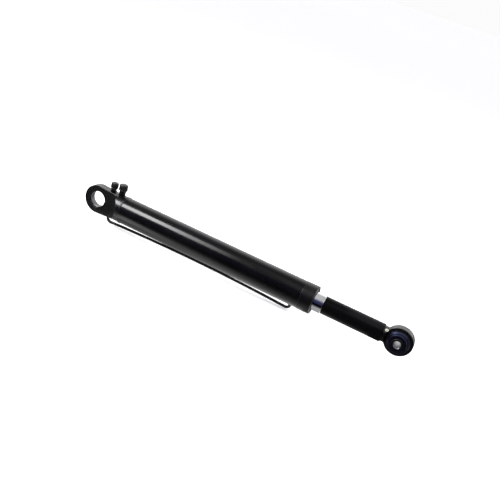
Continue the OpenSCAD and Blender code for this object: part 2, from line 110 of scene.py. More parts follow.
class Graph:
    """A material's node tree with short calls for the nodes used here."""

    def __init__(self, name):
        self.material = bpy.data.materials.new(name)
        self.material.use_nodes = True
        self.tree = self.material.node_tree
        self.shader = self.tree.nodes["Principled BSDF"]
        self.coords = self.tree.nodes.new("ShaderNodeTexCoord").outputs["Object"]

    def link(self, a, b):
        self.tree.links.new(a, b)

    def set(self, **values):
        """Constant values on the shader, by socket name with _ for a space."""
        for key, value in values.items():
            self.shader.inputs[key.replace("_", " ")].default_value = value

    def stretched(self, scale):
        """Object coordinates stretched by a factor along each axis."""
        node = self.tree.nodes.new("ShaderNodeMapping")
        node.inputs["Scale"].default_value = scale
        self.link(self.coords, node.inputs["Vector"])
        return node.outputs["Vector"]

    def noise(self, scale, detail=3.0, roughness=0.55, coords=None, distortion=0.0):
        node = self.tree.nodes.new("ShaderNodeTexNoise")
        node.inputs["Scale"].default_value = scale
        node.inputs["Detail"].default_value = detail
        node.inputs["Roughness"].default_value = roughness
        node.inputs["Distortion"].default_value = distortion
        self.link(coords or self.coords, node.inputs["Vector"])
        return node.outputs["Fac"]

    def remap(self, value, low, high, to_low=0.0, to_high=1.0):
        node = self.tree.nodes.new("ShaderNodeMapRange")
        for key, number in zip(("From Min", "From Max", "To Min", "To Max"), (low, high, to_low, to_high)):
            node.inputs[key].default_value = number
        self.link(value, node.inputs["Value"])
        return node.outputs["Result"]

    def math(self, operation, a, b):
        node = self.tree.nodes.new("ShaderNodeMath")
        node.operation = operation
        for socket, value in zip(node.inputs, (a, b)):
            if isinstance(value, (int, float)):
                socket.default_value = value
            else:
                self.link(value, socket)
        return node.outputs["Value"]

    def mix(self, factor, a, b):
        """Colour mix; a and b are colours or sockets."""
        node = self.tree.nodes.new("ShaderNodeMix")
        node.data_type = "RGBA"
        self.link(factor, node.inputs["Factor"])
        for socket, value in zip((node.inputs[6], node.inputs[7]), (a, b)):
            if isinstance(value, tuple):
                socket.default_value = (*value, 1.0)
            else:
                self.link(value, socket)
        return node.outputs[2]

    def edge_mask(self, low=0.52, high=0.6):
        """1 on convex edges, from the mesh's own curvature."""
        node = self.tree.nodes.new("ShaderNodeNewGeometry")
        return self.remap(node.outputs["Pointiness"], low, high)

    def bump(self, height, distance, strength=1.0, under=None):
        node = self.tree.nodes.new("ShaderNodeBump")
        node.inputs["Distance"].default_value = distance
        node.inputs["Strength"].default_value = strength
        self.link(height, node.inputs["Height"])
        if under is not None:
            self.link(under, node.inputs["Normal"])
        return node.outputs["Normal"]

    def finish(self, colour=None, roughness=None, normal=None):
        for key, value in (("Base Color", colour), ("Roughness", roughness), ("Normal", normal)):
            if value is not None:
                self.link(value, self.shader.inputs[key])
        return self.material


# ---------------------------------------------------------------- materials


def paint(name, smooth, rough, peel=1.0, specular=0.38):
    """Sprayed black enamel: orange peel, faint dust and uneven gloss."""
    g = Graph(name)
    g.set(Specular_IOR_Level=specular)
    cloud = g.noise(14, 4)
    dust = g.remap(g.noise(2600, 2), 0.66, 0.78)
    patch = g.remap(g.noise(55, 3), 0.45, 0.7)
    black = g.mix(cloud, (0.0012, 0.0012, 0.0014), (0.0032, 0.0032, 0.0036))
    dusty = g.mix(g.math("MULTIPLY", g.math("MULTIPLY", dust, patch), 0.4), black, (0.05, 0.048, 0.045))
    roughness = g.math("ADD", g.remap(cloud, 0.3, 0.7, smooth, rough), g.math("MULTIPLY", dust, 0.12))
    waves = g.bump(g.noise(170, 2), 0.00016 * peel, 0.25)
    normal = g.bump(g.noise(900, 2), 0.00005 * peel, 0.3, under=waves)
    return g.finish(dusty, roughness, normal)


def machined(name, colour, roughness, axis, pitch=2500, bright=1.25):
    """Turned or bored metal: fine marks that run round an axis (0, 1 or 2), and a few rougher scratches."""
    g = Graph(name)
    g.set(Metallic=1.0)
    stretch = [60.0, 60.0, 60.0]
    stretch[axis] = pitch
    marks = g.noise(1.0, 4, 0.7, coords=g.stretched(stretch))
    cloud = g.noise(45, 4)
    coarse = g.stretched([s * 0.35 for s in stretch])
    scratch = g.remap(g.noise(1.0, 2, coords=coarse, distortion=0.6), 0.68, 0.72)
    dark = tuple(c * 0.72 for c in colour)
    light = tuple(min(1.0, c * bright) for c in colour)
    tone = g.mix(g.remap(cloud, 0.3, 0.7), dark, colour)
    tone = g.mix(g.remap(marks, 0.45, 0.75, 0, 0.6), tone, light)
    worn = g.remap(marks, 0.3, 0.7, roughness * 0.7, roughness * 1.3)
    rough = g.math("ADD", worn, g.math("MULTIPLY", scratch, 0.1))
    normal = g.bump(marks, 0.00004, 0.35)
    return g.finish(tone, rough, normal)


def chrome():
    """Ground hard chrome: near mirror, with barely visible grinding rings and wipe marks of oil."""
    g = Graph("hard_chrome")
    g.set(Metallic=1.0)
    rings = g.noise(1.0, 3, 0.6, coords=g.stretched((5200, 40, 40)))
    smear = g.noise(1.0, 4, 0.6, coords=g.stretched((26, 70, 70)), distortion=0.8)
    tone = g.mix(g.remap(smear, 0.35, 0.7), (0.7, 0.705, 0.73), (0.83, 0.835, 0.86))
    rough = g.math("ADD", g.remap(smear, 0.35, 0.7, 0.045, 0.11), g.remap(rings, 0.4, 0.7, 0.0, 0.05))
    normal = g.bump(rings, 0.00001, 0.25)
    return g.finish(tone, rough, normal)


def moulded(name, dark, light, smooth, rough, grain, depth):
    """Moulded rubber or plastic: fine grain, faint flow clouds and rubbed, lighter edges."""
    g = Graph(name)
    g.set(Specular_IOR_Level=0.5)
    flow = g.noise(60, 4, distortion=0.5)
    fine = g.noise(grain, 3, 0.65)
    tone = g.mix(g.remap(flow, 0.35, 0.7), dark, light)
    rubbed = tuple(min(1.0, c * 2.2 + 0.008) for c in light)
    tone = g.mix(g.math("MULTIPLY", g.edge_mask(), 0.55), tone, rubbed)
    roughness = g.remap(g.math("ADD", flow, fine), 0.7, 1.3, smooth, rough)
    normal = g.bump(fine, depth, 0.5)
    return g.finish(tone, roughness, normal)


def bush_rubber_material():
    g = Graph("bush_rubber")
    g.set(Specular_IOR_Level=0.5, Specular_Tint=(0.44, 0.5, 1.0, 1.0))
    flow = g.noise(90, 4, distortion=0.4)
    fine = g.noise(2400, 3)
    dust = g.remap(g.noise(1500, 2), 0.66, 0.8)
    tone = g.mix(g.remap(flow, 0.35, 0.7), (0.0012, 0.0012, 0.002), (0.0026, 0.0026, 0.0042))
    tone = g.mix(g.math("MULTIPLY", dust, 0.2), tone, (0.05, 0.05, 0.06))
    rough = g.remap(g.math("ADD", flow, fine), 0.7, 1.3, 0.3, 0.42)
    return g.finish(tone, rough, g.bump(fine, 0.00003, 0.4))


def zinc_plate():
    """Yellow-passivated zinc with its faint rainbow clouds."""
    g = Graph("zinc_plate")
    g.set(Metallic=1.0)
    cloud = g.remap(g.noise(420, 3, distortion=1.0), 0.35, 0.65)
    hue = g.mix(cloud, (0.9, 0.88, 0.74), (0.84, 0.88, 0.8))
    tone = g.mix(g.remap(g.noise(1500, 3), 0.45, 0.75), hue, (0.97, 0.95, 0.86))
    rough = g.remap(g.noise(900, 3), 0.3, 0.7, 0.24, 0.42)
    return g.finish(tone, rough, g.bump(g.noise(3000, 2), 0.00003, 0.4))


MATERIALS = {
    "barrel_paint": paint("barrel_paint", 0.13, 0.2),
    "cast_paint": paint("cast_paint", 0.2, 0.3, peel=1.6, specular=0.5),
    "collar_paint": paint("collar_paint", 0.3, 0.4),
    "sleeve_paint": paint("sleeve_paint", 0.2, 0.28, specular=0.08),
    "pipe_paint": paint("pipe_paint", 0.2, 0.3, peel=0.5),
    "chrome": chrome(),
    "bushing": machined("bored_steel", (0.13, 0.13, 0.135), 0.34, axis=1),
    "turned": machined("turned_steel", (0.46, 0.47, 0.49), 0.28, axis=0),
    "bush_bore": machined("drawn_steel", (0.26, 0.26, 0.27), 0.3, axis=1, pitch=900, bright=1.7),
    "black_oxide": machined("black_oxide", (0.035, 0.035, 0.04), 0.38, axis=1),
    "zinc": zinc_plate(),
    "cap": moulded("cap_plastic", (0.003, 0.003, 0.0032), (0.007, 0.007, 0.0075), 0.22, 0.36, 3200, 0.00005),
    "seal": moulded("seal_polyurethane", (0.035, 0.11, 0.1), (0.06, 0.17, 0.15), 0.3, 0.45, 2200, 0.00002),
    "guide": moulded("guide_strip", (0.2, 0.1, 0.045), (0.33, 0.18, 0.08), 0.45, 0.62, 1300, 0.00005),
    "o_ring": moulded("nitrile_rubber", (0.008, 0.008, 0.009), (0.02, 0.02, 0.021), 0.4, 0.55, 2600, 0.00002),
    "bush_rubber": bush_rubber_material(),
}

# ---------------------------------------------------------------- mesh helpers


def add_piece(name, verts, faces, materials, body, slot, replaces=(),
              normals=None, face_slots=None, sharp=38):
    """Makes a smooth-shaded mesh object that rides on a body and stands for CAD nodes."""
    mesh = bpy.data.meshes.new(name)
    mesh.from_pydata([tuple(v) for v in verts], [], [tuple(f) for f in faces])
    mesh.validate()
    for key in materials:
        mesh.materials.append(MATERIALS[key])
    if face_slots is not None:
        mesh.polygons.foreach_set("material_index", face_slots)
    mesh.shade_smooth()
    if normals is not None:
        mesh.normals_split_custom_set_from_vertices([tuple(n) for n in normals])
    else:
        mesh.set_sharp_from_angle(angle=math.radians(sharp))
    piece = bpy.data.objects.new(name, mesh)
    bpy.context.scene.collection.objects.link(piece)
    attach(piece, body)
    if replaces:
        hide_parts(*replaces)
    return piece


def rounded(outline, steps=5):
    """Fillets an outline of (along, radius, fillet) corners; the last point joins the first.

    A point just outside each fillet keeps the smooth shading off the long straight faces.
    """
    points = []
    count = len(outline)
    for k, (a, r, fillet) in enumerate(outline):
        here = Vector((a, r))
        if fillet <= 0:
            points.append(here)
            continue
        before = Vector(outline[k - 1][:2]) - here
        after = Vector(outline[(k + 1) % count][:2]) - here
        half = before.angle(after) / 2
        reach = min(fillet / math.tan(half), 0.49 * before.length, 0.49 * after.length)
        radius = reach * math.tan(half)
        centre = here + (before.normalized() + after.normalized()).normalized() * (radius / math.sin(half))
        start = (here + before.normalized() * reach - centre).normalized()
        end = (here + after.normalized() * reach - centre).normalized()
        arc = [centre + start.slerp(end, s / steps) * radius for s in range(steps + 1)]
        if before.length > 4 * reach:
            arc.insert(0, here + before.normalized() * reach * 1.1)
        if after.length > 4 * reach:
            arc.append(here + after.normalized() * reach * 1.1)
        points += arc
    return points


def place(axis, centre, along, radius, angle):
    """A point at a radius and angle round an axis through centre."""
    u, w = radius * math.cos(angle), radius * math.sin(angle)
    offset = {0: (along, u, w), 1: (u, along, w), 2: (u, w, along)}[axis]
    return Vector(centre) + Vector(offset)


def lathe(outline, axis=0, centre=(0, 0, 0), steps=160, wobble=None):
    """Revolves a closed outline of (along, radius) points. wobble(angle, k) adds to the radius of point k."""
    count = len(outline)
    verts, faces = [], []
    for s in range(steps):
        angle = 2 * math.pi * s / steps
        for k, (a, r) in enumerate(outline):
            extra = wobble(angle, k) if wobble else 0.0
            verts.append(place(axis, centre, a, r + extra, angle))
    for s in range(steps):
        for k in range(count):
            a, b = s * count, ((s + 1) % steps) * count
            quad = (a + k, a + (k + 1) % count, b + (k + 1) % count, b + k)
            faces.append(quad if axis != 1 else quad[::-1])
    return verts, faces


def turned(name, outline, body, slot, material, replaces=(), axis=0, centre=(0, 0, 0), steps=160, **more):
    """A turned ring or tube from a closed outline of (along, radius, fillet) corners."""
    verts, faces = lathe(rounded(outline), axis, centre, steps)
    return add_piece(name, verts, faces, [material], body, slot, replaces, **more)


def tube_outline(x0, x1, outer, inner, edge):
    """Closed outline of a plain tube with rounded edges."""
    return [(x0, inner, edge), (x1, inner, edge), (x1, outer, edge), (x0, outer, edge)]


# ---------------------------------------------------------------- distance fields


def round_max(a, b, r):
    """Intersection of two distance fields with its edge rounded to radius r."""
    return np.minimum(-r, np.maximum(a, b)) + np.hypot(np.maximum(r + a, 0), np.maximum(r + b, 0))


def round_min(a, b, r):
    """Union of two distance fields with its corner filled to radius r."""
    return np.maximum(r, np.minimum(a, b)) - np.hypot(np.maximum(r - a, 0), np.maximum(r - b, 0))


def capsule(x, z, centre, r, sign):
    """Distance from a half-round slab: an arc about x = centre that runs on straight towards sign."""
    past = (x - centre) * sign < 0
    return np.where(past, np.hypot(x - centre, z), np.abs(z)) - r


CORNERS = [(i, j, k) for i in (0, 1) for j in (0, 1) for k in (0, 1)]


def net_vertices(values, mixed, low, cell):
    """One point per crossed grid cell: the mean of where the surface cuts the cell's edges."""
    where = np.argwhere(mixed)
    total = np.zeros(where.shape)
    hits = np.zeros(len(where))
    for start in CORNERS:
        for axis in range(3):
            if start[axis]:
                continue
            end = tuple(1 if n == axis else start[n] for n in range(3))
            a = values[tuple((where + start).T)]
            b = values[tuple((where + end).T)]
            cut = (a < 0) != (b < 0)
            t = np.where(cut, a / np.where(cut, a - b, 1.0), 0.0)
            point = where + np.array(start) + t[:, None] * (np.array(end) - np.array(start))
            total += np.where(cut[:, None], point, 0.0)
            hits += cut
    return np.array(low) + cell * total / hits[:, None]


def net_faces(inside, index):
    """One quad round each grid edge that crosses the surface."""
    faces = []
    for axis in range(3):
        u, w = (axis + 1) % 3, (axis + 2) % 3
        first = np.take(inside, range(inside.shape[axis] - 1), axis)
        second = np.take(inside, range(1, inside.shape[axis]), axis)
        edges = np.argwhere(first != second)
        edges = edges[(edges[:, u] > 0) & (edges[:, w] > 0)]
        edges = edges[(edges[:, u] < index.shape[u]) & (edges[:, w] < index.shape[w])]
        outward = first[tuple(edges.T)]
        ring = []
        for du, dw in ((1, 1), (0, 1), (0, 0), (1, 0)):
            cell = edges.copy()
            cell[:, u] -= du
            cell[:, w] -= dw
            ring.append(index[tuple(cell.T)])
        quads = np.stack(ring, 1)
        quads[~outward] = quads[~outward][:, ::-1]
        faces.append(quads)
    return np.concatenate(faces)


def gradient(field, p, step):
    """Direction in which a distance field grows."""
    slopes = []
    for axis in range(3):
        shift = np.zeros(3)
        shift[axis] = step
        slopes.append(field(*(p + shift).T) - field(*(p - shift).T))
    g = np.stack(slopes, 1)
    return g / np.maximum(np.linalg.norm(g, axis=1, keepdims=True), 1e-12)


def sculpt(field, low, high, cell, relax=4):
    """Meshes the zero surface of a distance field, evens it out and returns verts, faces and normals."""
    axes = [np.arange(a, b + cell, cell) for a, b in zip(low, high)]
    values = field(*np.meshgrid(*axes, indexing="ij"))
    inside = values < 0
    count = sum(inside[i:i - 1 or None, j:j - 1 or None, k:k - 1 or None].astype(int) for i, j, k in CORNERS)
    mixed = (count > 0) & (count < 8)
    index = np.full(mixed.shape, -1)
    index[mixed] = np.arange(mixed.sum())
    p = net_vertices(values, mixed, low, cell)
    faces = net_faces(inside, index)
    pairs = np.concatenate([faces[:, [k, (k + 1) % 4]] for k in range(4)])
    step = cell * 0.05
    for turn in range(relax + 1):
        if turn < relax:
            total, links = np.zeros_like(p), np.zeros(len(p))
            np.add.at(total, pairs[:, 0], p[pairs[:, 1]])
            np.add.at(links, pairs[:, 0], 1)
            p = p + 0.5 * (total / links[:, None] - p)
        for _ in range(3):
            p = p - np.clip(field(*p.T), -cell, cell)[:, None] * gradient(field, p, step)
    return p, faces, gradient(field, p, step)


# ---------------------------------------------------------------- base eye


def lug_outline(x, z):
    """Round about the bore, then two straight edges that narrow until the plate lies within the round bar."""
    end_half = math.sqrt(BARREL_R ** 2 - LUG_HALF ** 2)
    lean = math.asin(LUG_R / math.hypot(LUG_RUNOUT, end_half)) - math.atan2(end_half, LUG_RUNOUT)
    along, across = math.cos(lean), math.sin(lean)
    side = x * across + np.abs(z) * along
    return np.where(x * along < np.abs(z) * across, np.hypot(x, z), side) - LUG_R


def base_eye_field(x, y, z):
    """Lug plate, round bar with flats that run out in an arc, bore, port seats and the inner plug."""
    radius = np.hypot(y, z)
    plug = round_max(radius - GLAND_R, x - SPIGOT_X1, 1 * MM)
    bar = round_max(radius - BARREL_R, np.maximum(x - (BARREL_X0 - 0.5 * MM), -x), 1.5 * MM)
    arc_r = BARREL_R + 1 * MM
    milled = capsule(x, z, LUG_RUNOUT - arc_r, arc_r, -1)
    bar = round_max(bar, round_min(np.abs(y) - LUG_HALF, -milled, 2.5 * MM), 1.3 * MM)
    plate = round_max(lug_outline(x, z), np.abs(y) - LUG_HALF, 1.3 * MM)
    body = np.minimum(bar, np.maximum(plate, x - LUG_RUNOUT))
    body = round_max(body, BUSHING_R - np.hypot(x, z), 1.1 * MM)
    for port_x in (PORT_A_X, PORT_B_X):
        seat = np.maximum(np.hypot(x - port_x, y) - SEAT_R, PORT_FACE_Z - z)
        body = round_max(body, -seat, 0.5 * MM)
    return np.minimum(body, np.maximum(plug, BARREL_X0 - 3 * MM - x))


def bored_sleeve(name, half, bore_r, outer_r, chamfer, centre, materials, body, slot, node):
    """Tube round a Y axis with a bright bore; the second material covers the rest."""
    near, far = outer_r - bore_r, 0.1 * MM
    edge = min(0.6 * MM, near / 4)
    one_end = [(half - chamfer, bore_r), (half - far, bore_r + chamfer - far), (half, bore_r + chamfer + far),
               (half, outer_r - edge), (half - edge, outer_r)]
    corners = one_end + [(-along, radius) for along, radius in reversed(one_end)]
    steps = 96
    verts, faces = lathe(corners, 1, centre, steps)
    bright = (0, 8, 9)  # outline steps along the two chamfers and the bore
    slots = [0 if k in bright else 1 for _ in range(steps) for k in range(len(corners))]
    add_piece(name, verts, faces, materials, body, slot, [node], face_slots=slots)


def build_base_eye():
    margin = 2 * MM
    low = (-LUG_R - margin, -BARREL_R - margin, -LUG_R - margin)
    high = (SPIGOT_X1 + margin, BARREL_R + margin, LUG_R + margin)
    verts, faces, normals = sculpt(base_eye_field, low, high, 0.75 * MM)
    add_piece("base_eye_forging", verts, faces, ["cast_paint"], "barrel", "black_paint",
              ["base_eye"], normals)
    bored_sleeve("base_bushing_ring", BUSHING_HALF, BUSHING_BORE_R, BUSHING_R, 0.7 * MM, (0, 0, 0),
                 ["bushing", "cast_paint"], "barrel", "bushing_steel", "base_bushing")


# ---------------------------------------------------------------- weld beads


def bead(name, x, radius, width, height, ripples, body, replaces):
    """A weld bead round the cylinder, with the overlapping ripples that each puddle leaves."""
    around, across = ripples * 8, 14
    verts = []
    for s in range(around):
        angle = 2 * math.pi * s / around
        drift = 0.16 * math.sin(3 * angle + 0.7) + 0.1 * math.sin(7 * angle)
        for k in range(across + 1):
            t = 2 * k / across - 1
            puddle = math.fmod(ripples * (angle / (2 * math.pi)) + 0.42 * t * t + 10, 1.0)
            crest = height * math.sqrt(max(0.0, 1 - t * t)) * (0.84 + 0.16 * puddle)
            sink = -0.35 * height if abs(t) == 1 else 0.0
            along = x + width / 2 * (t + 0.22 * drift)
            verts.append(place(0, (0, 0, 0), along, radius + crest + sink, angle))
        verts.append(place(0, (0, 0, 0), x, radius - 1.2 * height, angle))
    row = across + 2
    faces = []
    for s in range(around):
        a, b = s * row, ((s + 1) % around) * row
        faces += [(a + k, a + (k + 1) % row, b + (k + 1) % row, b + k) for k in range(row)]
    add_piece(name, verts, faces, ["cast_paint"], body, "black_paint", replaces, sharp=60)


# ---------------------------------------------------------------- barrel, head and stage tube


def build_barrel():
    turned("barrel_shell",
           [(BARREL_X0, GLAND_R, 0), (COLLAR_X0, GLAND_R, 0), (COLLAR_X0, BARREL_R, 0.2 * MM),
            (BARREL_X0, BARREL_R, 1.2 * MM)],
           "barrel", "black_paint", "barrel_paint", ["barrel_tube"], steps=192)
    bead("base_weld_bead", BARREL_X0 - 0.2 * MM, BARREL_R - 0.3 * MM, 6.2 * MM, 1.5 * MM, 46,
         "barrel", ["base_weld"])
    groove = COLLAR_X0 + 3 * MM
    turned("head_collar_ring",
           [(COLLAR_X0, GLAND_R, 0), (COLLAR_X1, GLAND_R, 0.5 * MM), (COLLAR_X1, COLLAR_R, 1.3 * MM),
            (groove + 1.2 * MM, COLLAR_R, 0.25 * MM), (groove + 0.8 * MM, COLLAR_R - 0.5 * MM, 0.2 * MM),
            (groove, COLLAR_R - 0.5 * MM, 0.2 * MM), (groove - 0.4 * MM, COLLAR_R, 0.25 * MM),
            (COLLAR_X0, COLLAR_R, 0.7 * MM)],
           "barrel", "black_paint", "collar_paint", ["head_collar"], steps=192)


def build_stage_tube():
    """Bright tube with a wider mouth that takes the inner gland."""
    mouth_x, mouth_r = STAGE_X1 - 34 * MM, STAGE_BORE_R + 2 * MM
    turned("stage_chrome_tube",
           [(STAGE_X0, STAGE_BORE_R, 0.5 * MM), (mouth_x, STAGE_BORE_R, 0), (mouth_x, mouth_r, 0),
            (STAGE_X1, mouth_r, 0.5 * MM), (STAGE_X1, STAGE_R, 1 * MM), (STAGE_X0, STAGE_R, 1 * MM)],
           "stage", "chrome", "chrome", ["stage_tube"], steps=192)


# ---------------------------------------------------------------- ports and pipe


def hex_field(axis_x, z0, z1, flats, stud_r, nipple_r, top):
    """Stud coupling: round stud, hexagon with turned corners, necked nipple."""
    def field(x, y, z):
        x = x - axis_x
        radius = np.hypot(x, y)
        turns = (0, math.pi / 3, 2 * math.pi / 3)
        sides = [np.abs(x * math.cos(a) + y * math.sin(a)) - flats / 2 for a in turns]
        prism = round_max(round_max(sides[0], sides[1], 0.3 * MM), sides[2], 0.3 * MM)
        nut = round_max(prism, np.maximum(z0 - z, z - z1), 0.25 * MM)
        crown = (radius - flats * 0.5) * 0.5 + (np.abs(z - (z0 + z1) / 2) - (z1 - z0) / 2) * 0.86
        nut = np.maximum(nut, crown)
        stem = round_max(radius - nipple_r, z - top, 0.6 * MM)
        groove = np.maximum(np.abs(z - z1 - 0.9 * MM) - 0.5 * MM, nipple_r - 0.7 * MM - radius)
        neck = round_max(stem, -groove, 0.2 * MM)
        stud = np.maximum(radius - stud_r, z - z0)
        return np.maximum(round_min(nut, np.minimum(neck, stud), 0.2 * MM), (PORT_FACE_Z - 6 * MM) - z)
    return field


def build_port(label, x, flats, hex_height, nipple_r, cap_node):
    """Coupling and ribbed cap of one port. The washer under it keeps its CAD mesh."""
    washer_top = span("port_washers", 2)[1]
    hex_top = washer_top + hex_height
    fitting = f"port_fitting_{label}"
    top = span(fitting, 2)[1]
    reach = flats * 0.62
    low, high = (x - reach, -reach, PORT_FACE_Z - 7 * MM), (x + reach, reach, top + 1 * MM)
    field = hex_field(x, washer_top, hex_top, flats, 5 * MM, nipple_r, top)
    verts, faces, normals = sculpt(field, low, high, 0.34 * MM, relax=3)
    add_piece(f"port_coupling_{label}", verts, faces, ["pipe_paint"], "barrel", "black_paint",
              [fitting], normals)
    low_z, high_z = span(cap_node, 2)
    cap_r = (span(cap_node, 0)[1] - span(cap_node, 0)[0]) / 2
    build_cap(f"port_dust_cap_{label}", x, cap_r, nipple_r, low_z, high_z, top, cap_node)


def build_cap(name, x, cap_r, hole_r, low_z, high_z, hole_top, node):
    """Soft plastic cap: plain lip, ribbed grip, rounded crown with a moulding pip."""
    ribs, steps = 20, 240
    height = high_z - low_z
    lip, grip_top = low_z + 1.6 * MM, high_z - 3.2 * MM
    pip, crown, grip_rows = 1.1 * MM, 2.6 * MM, 12
    outline = [(low_z, hole_r), (hole_top, hole_r), (hole_top, 0.4 * MM), (high_z, 0.02 * MM),
               (high_z, pip * 0.8), (high_z - 0.25 * MM, pip), (high_z - 0.45 * MM, pip * 1.25)]
    for s in range(9):
        t = s / 8 * math.pi / 2
        outline.append((high_z - 0.5 * MM - crown * (1 - math.cos(t)),
                        cap_r - 0.3 * MM - crown + crown * math.sin(t)))
    for s in range(grip_rows + 1):
        outline.append((grip_top + (lip - grip_top) * s / grip_rows, cap_r - 0.15 * MM))
    outline += [(lip - 0.15 * MM, cap_r), (low_z + 0.35 * MM, cap_r), (low_z, cap_r - 0.35 * MM)]

    def wobble(angle, k):
        along, radius = outline[k]
        if radius < cap_r - 0.2 * MM or radius > cap_r - 0.1 * MM:
            return 0.0
        fade = min(1.0, (along - lip) / (0.1 * height), (grip_top - along) / (0.1 * height))
        wave = 0.5 - 0.5 * math.cos(ribs * angle)
        return -0.75 * MM * max(0.0, fade) ** 0.5 * (1 - wave ** 3)

    verts, faces = lathe(outline, axis=2, centre=(x, 0, 0), steps=steps, wobble=wobble)
    add_piece(name, verts, faces, ["cap"], "barrel", "black_cap", [node], sharp=50)


def pipe_route():
    """Centre line of the return pipe: leg, bend, one shallow bow along the barrel, bend, leg."""
    bend_r, gap, bow = 9 * MM, 3.5 * MM, 5.7 * MM
    half = (PIPE_FRONT_X - PORT_A_X) / 2 - bend_r
    mid_x, mid_z = (PIPE_FRONT_X + PORT_A_X) / 2, -BARREL_R - gap - PIPE_R
    tilt = 2 * math.atan(bow / half)
    bow_r = half / math.sin(tilt) - bend_r
    bend_z = mid_z - bow_r * (1 - math.cos(tilt)) + bend_r * math.cos(tilt)

    def arc(cx, cz, r, a0, a1, steps):
        angles = [a0 + (a1 - a0) * s / steps for s in range(steps + 1)]
        return [Vector((cx + r * math.cos(a), 0, cz + r * math.sin(a))) for a in angles]

    right = math.pi / 2
    start = Vector((PORT_A_X, 0, -PORT_FACE_Z + 4 * MM))
    end = Vector((PIPE_FRONT_X, 0, -BARREL_R - 1.5 * MM))
    return [start,
            *arc(PORT_A_X + bend_r, bend_z, bend_r, 2 * right, 3 * right + tilt, 20),
            *arc(mid_x, mid_z - bow_r, bow_r, right + tilt, right - tilt, 40)[1:-1],
            *arc(PIPE_FRONT_X - bend_r, bend_z, bend_r, 3 * right - tilt, 4 * right, 20), end]


def build_pipe():
    route = pipe_route()
    sides = 28
    verts, faces = [], []
    side = Vector((0, 1, 0))
    for wall_r in (PIPE_R, PIPE_R * 2 / 3):
        for k, point in enumerate(route):
            ahead = route[min(k + 1, len(route) - 1)] - route[max(k - 1, 0)]
            up = ahead.normalized().cross(side)
            for s in range(sides):
                a = 2 * math.pi * s / sides
                verts.append(point + wall_r * (math.cos(a) * side + math.sin(a) * up))
    rings = len(route)
    for wall in (0, 1):
        for k in range(rings - 1):
            for s in range(sides):
                a, b = (wall * rings + k) * sides, (wall * rings + k + 1) * sides
                n = (s + 1) % sides
                quad = (a + s, a + n, b + n, b + s)
                faces.append(quad if wall else quad[::-1])
    for k, flip in ((0, False), (rings - 1, True)):
        for s in range(sides):
            n = (s + 1) % sides
            a, b = k * sides, (rings + k) * sides
            quad = (a + s, b + s, b + n, a + n)
            faces.append(quad if flip else quad[::-1])
    add_piece("return_pipe_tube", verts, faces, ["pipe_paint"], "barrel", "black_paint", ["return_pipe"])


def saddle(name, x, outline, replaces=()):
    """Turned about Z under the barrel. Heights run out from the barrel, and the low ones follow its curve."""
    steps, follow = 72, 2.4 * MM
    verts, faces = [], []
    count = len(outline)
    for s in range(steps):
        angle = 2 * math.pi * s / steps
        for height, radius in outline:
            y = radius * math.sin(angle)
            drop = math.sqrt(BARREL_R ** 2 - y * y) if height < follow else BARREL_R
            verts.append((x + radius * math.cos(angle), y, -(drop + height)))
    for s in range(steps):
        a, b = s * count, ((s + 1) % steps) * count
        faces += [(a + k, b + k, b + (k + 1) % count, a + (k + 1) % count) for k in range(count)]
    add_piece(name, verts, faces, ["cast_paint"], "barrel", "black_paint", replaces, sharp=50)


def build_pipe_ends():
    """Boss with its weld at the front, and a collar of braze where the pipe enters the lug."""
    boss_r = PIPE_R + 2.5 * MM
    weld = [(2.0 * MM * math.cos(t) ** 1.4, boss_r + 3.4 * MM * math.sin(t) ** 1.4)
            for t in [k / 8 * math.pi / 2 for k in range(9)]]
    outline = [(2.9 * MM, PIPE_R), (2.9 * MM, boss_r - 0.7 * MM), (2.5 * MM, boss_r - 0.1 * MM), *weld,
               (-0.3 * MM, boss_r + 3.2 * MM), (-0.3 * MM, PIPE_R)]
    saddle("pipe_front_boss", PIPE_FRONT_X, outline, ["pipe_boss"])
    braze = [(1.9 * MM * (1 - math.sin(t)), PIPE_R + 2.6 * MM * (1 - math.cos(t)))
             for t in [k / 8 * math.pi / 2 for k in range(9)]]
    saddle("pipe_braze", PORT_A_X, [*braze, (-0.3 * MM, PIPE_R + 2.4 * MM), (-0.3 * MM, PIPE_R - 0.3 * MM),
                                   (1.9 * MM, PIPE_R - 0.3 * MM)])


def build_ports():
    build_port("a", PORT_A_X, 11 * MM, 8.5 * MM, 4.25 * MM, "port_cap_a")
    build_port("b", PORT_B_X, 13 * MM, 12 * MM, 5 * MM, "port_cap_b")


# ---------------------------------------------------------------- rod sleeve, rod eye and bush


def rod_eye_field(x, y, z):
    """Shank and neck with milled flats, blended into the ring that holds the bush."""
    radius = np.hypot(y, z)
    out = np.hypot(x - EYE_X, z)
    ring = round_max(out - EYE_R, np.abs(y) - EYE_HALF, 1.2 * MM)
    runout = NECK_R - EYE_HALF
    cutter_x = SLEEVE_X1 + 6 * MM + runout
    wide = np.abs(y) - NECK_R
    cutter = np.where(x < cutter_x, np.hypot(x - cutter_x, wide) - runout, -wide - runout)
    neck = round_max(radius - NECK_R, np.maximum(x - EYE_X, SLEEVE_X1 - x), 0.4 * MM)
    neck = round_max(neck, -cutter, 0.8 * MM)
    body = round_min(ring, neck, 2.2 * MM)
    shank = round_max(radius - (SLEEVE_R - SLEEVE_WALL), SHANK_X0 - x, 1 * MM)
    body = np.minimum(body, np.maximum(shank, x - SLEEVE_X1 - 3 * MM))
    return round_max(body, EYE_BORE_R - out, 0.5 * MM)


def build_sleeve():
    inner = SLEEVE_R - SLEEVE_WALL
    turned("rod_cover_sleeve",
           [(SLEEVE_X0, inner, 0.3 * MM), (SLEEVE_X1, inner, 0), (SLEEVE_X1, SLEEVE_R - 1.6 * MM, 0.4 * MM),
            (SLEEVE_X1 - 1.6 * MM, SLEEVE_R, 0.8 * MM), (SLEEVE_X0, SLEEVE_R, 0.6 * MM)],
           "rod", "black_paint", "sleeve_paint", ["rod_sleeve"], steps=160)


